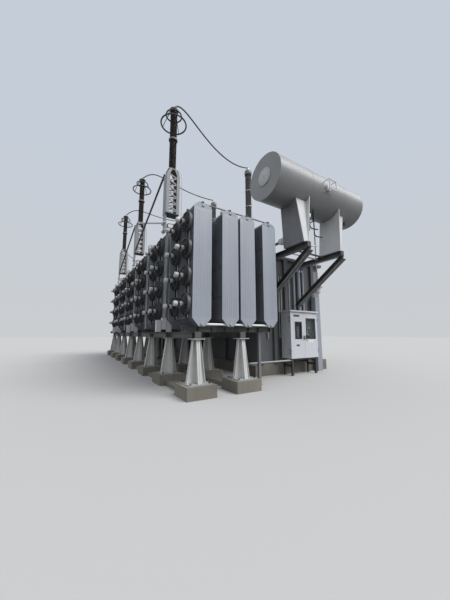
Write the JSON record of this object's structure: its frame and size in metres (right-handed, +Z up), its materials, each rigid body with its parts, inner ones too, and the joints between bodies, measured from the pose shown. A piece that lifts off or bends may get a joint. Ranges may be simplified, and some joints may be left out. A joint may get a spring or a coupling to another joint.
{
  "type": "oil-filled power transformer with a separate forced-air radiator bank",
  "caption": "Outdoor power transformer: ribbed tank with bushings, raised conservator, control cabinet with doors, and a long radiator and fan bank on pedestals.",
  "frame": {"origin": "centre of the underside of the tank's plinth, at ground level", "axes": "+X from the fan side across the radiators to the tank, +Y along the tank away from the conservator and cabinet, +Z up"},
  "size_m": [7.4393, 14.8585, 9.9272],
  "materials": {
    "foundation_concrete": "weathered cast concrete",
    "tank_paint": "pale grey enamel, slightly dusty",
    "radiator_paint": "pale blue-grey enamel on pressed steel plates",
    "conservator_paint": "pale grey enamel on rolled plate",
    "fan_paint": "dark grey housings and guards with pale motors",
    "stand_steel": "light grey painted steel, chalky",
    "bracket_steel": "galvanised and pale painted lacing",
    "dark_steel": "dark weathered galvanised sections",
    "arrester_glaze": "dark brown-grey sheds with light metal rings",
    "bushing_glaze": "grey sheds with metal joints and cap",
    "conductor": "stranded aluminium, dulled",
    "cabinet_paint": "near-white powder coat",
    "instrument_panel_paint": "grey-green panel with dials",
    "window_glass": "clear glazing in the door"
  },
  "bodies": {
    "transformer": {"tank_plinth": "foundation_concrete", "outer_piers": "foundation_concrete", "inner_piers": "foundation_concrete", "tank": "tank_paint", "tank_cover": "tank_paint", "cable_riser": "tank_paint", "radiator_bank_1": "radiator_paint", "radiator_bank_2": "radiator_paint", "radiator_bank_3": "radiator_paint", "radiator_bank_4": "radiator_paint", "radiator_bank_5": "radiator_paint", "radiator_bank_6": "radiator_paint", "conservator": "conservator_paint", "conservator_saddle_1": "conservator_paint", "conservator_saddle_2": "conservator_paint", "fan_bank_1": "fan_paint", "fan_bank_2": "fan_paint", "fan_bank_3": "fan_paint", "fan_bank_4": "fan_paint", "fan_bank_5": "fan_paint", "fan_bank_6": "fan_paint", "outer_pedestals": "stand_steel", "inner_pedestals": "stand_steel", "header_frame_1": "stand_steel", "header_frame_2": "stand_steel", "header_frame_3": "stand_steel", "header_frame_4": "stand_steel", "header_frame_5": "stand_steel", "header_frame_6": "stand_steel", "arrester_bracket_1": "bracket_steel", "arrester_bracket_2": "bracket_steel", "arrester_bracket_3": "bracket_steel", "front_frame": "dark_steel", "cross_brace_1": "dark_steel", "cross_brace_2": "dark_steel", "conservator_bracket_1": "dark_steel", "conservator_bracket_2": "dark_steel", "conservator_pipe": "dark_steel", "surge_arrester_1": "arrester_glaze", "surge_arrester_2": "arrester_glaze", "surge_arrester_3": "arrester_glaze", "high_voltage_bushing_1": "bushing_glaze", "high_voltage_bushing_2": "bushing_glaze", "high_voltage_bushing_3": "bushing_glaze", "neutral_bushing": "bushing_glaze", "jumper_1": "conductor", "jumper_2": "conductor", "jumper_3": "conductor", "control_cabinet": "cabinet_paint", "gauge_guard": "cabinet_paint", "breather": "cabinet_paint", "terminal_boxes_1": "cabinet_paint", "terminal_boxes_2": "cabinet_paint", "terminal_boxes_3": "cabinet_paint", "instrument_panel": "instrument_panel_paint"},
    "left_door_leaf": {"left_door": "cabinet_paint", "left_window": "window_glass"},
    "right_door_leaf": {"right_door": "cabinet_paint", "right_window": "window_glass"}
  },
  "joints": [
    {"name": "left_door_hinge", "type": "hinge", "parent": "transformer", "child": "left_door_leaf", "pos_m": [-0.736, -6.8, 1.412], "axis": [0, 0, -1], "range_deg": [0, 110]},
    {"name": "right_door_hinge", "type": "hinge", "parent": "transformer", "child": "right_door_leaf", "pos_m": [0.73, -6.8, 1.412], "axis": [0, 0, 1], "range_deg": [0, 110]}
  ]
}
